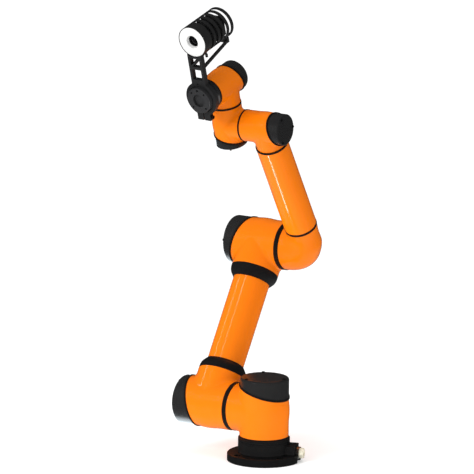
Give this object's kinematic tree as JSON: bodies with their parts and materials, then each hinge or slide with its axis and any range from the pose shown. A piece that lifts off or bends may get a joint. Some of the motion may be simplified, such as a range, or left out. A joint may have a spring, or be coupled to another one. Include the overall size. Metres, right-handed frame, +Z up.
{
  "type": "collaborative robot arm",
  "caption": "Articulated robot arm with glossy orange tubular links, black joint caps, a round bolted base, and a camera with a ring light clamped behind its tool flange.",
  "frame": {"origin": "centre of the base flange's bottom face, on the axis of joint 1", "axes": "+Z up along joint 1, +X from the base's axis towards the connector block"},
  "size_m": [0.3226, 0.4305, 1.0618],
  "materials": {
    "orange_paint": "high-gloss enamel over a cast and drawn aluminium shell",
    "black_cap": "satin black moulding",
    "base_black": "satin black powder coat",
    "collar_black": "satin black",
    "seal_rubber": "matt",
    "flange_grey": "dark anodised, fine turned",
    "bracket_grey": "dark anodised, bead blasted",
    "light_black": "black anodised",
    "steel": "blackened or bright machined",
    "screw_black": "black oxide",
    "drive_iron": "laminations and windings, unseen",
    "socket_metal": "nickel plated, knurled",
    "dust_cap": "pale moulding",
    "diffuser": "white, lit from behind",
    "lens": "black barrel and coated glass",
    "camera": "dark satin"
  },
  "bodies": {
    "base": {"base_flange": "base_black", "connector_block": "base_black", "connector_socket": "socket_metal", "connector_sleeve": "dust_cap", "joint_1_output": "steel"},
    "shoulder": {"shoulder_housing": "orange_paint", "joint_1_cap": "black_cap", "joint_1_cap_screws": "screw_black", "joint_1_seal": "seal_rubber", "joint_1_motor": "drive_iron", "joint_1_rotor": "steel", "joint_2_output": "steel"},
    "upper_arm": {"upper_arm_housing": "orange_paint", "joint_2_cap": "black_cap", "joint_2_cap_screws": "screw_black", "joint_2_seal": "seal_rubber", "joint_2_motor": "drive_iron", "joint_2_rotor": "steel", "upper_arm_collars": "collar_black", "upper_arm_tube": "orange_paint", "elbow_housing": "orange_paint", "joint_3_cap": "black_cap", "joint_3_cap_screws": "screw_black", "joint_3_seal": "seal_rubber", "joint_3_motor": "drive_iron", "joint_3_rotor": "steel"},
    "forearm": {"joint_3_output": "steel", "forearm_knee": "orange_paint", "forearm_rings": "seal_rubber", "forearm_tube": "orange_paint", "wrist_1_housing": "orange_paint", "joint_4_cap": "black_cap", "joint_4_cap_screws": "screw_black", "joint_4_seal": "seal_rubber", "joint_4_motor": "drive_iron", "joint_4_rotor": "steel"},
    "wrist_2": {"joint_4_output": "steel", "wrist_2_housing": "orange_paint", "joint_5_cap": "black_cap", "joint_5_cap_screws": "screw_black", "joint_5_seal": "seal_rubber", "joint_5_motor": "drive_iron", "joint_5_rotor": "steel"},
    "wrist_3": {"joint_5_output": "steel", "wrist_3_housing": "orange_paint", "joint_6_cap": "black_cap", "joint_6_cap_screws": "screw_black", "joint_6_seal": "seal_rubber", "joint_6_motor": "drive_iron", "joint_6_rotor": "steel"},
    "tool": {"joint_6_output": "steel", "tool_neck": "black_cap", "tool_flange": "flange_grey", "camera_bracket": "bracket_grey", "clamp_screw": "screw_black", "bracket_struts": "light_black", "light_housing": "light_black", "light_diffuser": "diffuser", "camera_lens": "lens", "camera_body": "camera"}
  },
  "joints": [
    {"name": "joint_1_base_turn", "type": "hinge", "parent": "base", "child": "shoulder", "pos_m": [0, 0, 0.1172], "axis": [0, 0, 1], "range_deg": [-247.1, 102.9]},
    {"name": "joint_2_shoulder_lift", "type": "hinge", "parent": "shoulder", "child": "upper_arm", "pos_m": [-0.13437, 0.0434, 0.1172], "axis": [0.9516, -0.3074, 0], "range_deg": [-142.4, 207.6]},
    {"name": "joint_3_elbow_bend", "type": "hinge", "parent": "upper_arm", "child": "forearm", "pos_m": [-0.06674, 0.25278, 0.46126], "axis": [0.9516, -0.3074, 0], "range_deg": [-209.1, 80.9]},
    {"name": "joint_4_wrist_tilt", "type": "hinge", "parent": "forearm", "child": "wrist_2", "pos_m": [-0.00845, 0.02783, 0.78134], "axis": [-0.9516, 0.3074, 0], "range_deg": [-164.4, 160.6]},
    {"name": "joint_5_wrist_turn", "type": "hinge", "parent": "wrist_2", "child": "wrist_3", "pos_m": [-0.10552, 0.05918, 0.78134], "axis": [-0.0904, -0.2798, 0.9558], "range_deg": [-135, 165]},
    {"name": "joint_6_tool_turn", "type": "hinge", "parent": "wrist_3", "child": "tool", "pos_m": [-0.11468, 0.03081, 0.87826], "axis": [0.3708, 0.8813, 0.2931], "range_deg": [-110, 90]}
  ]
}
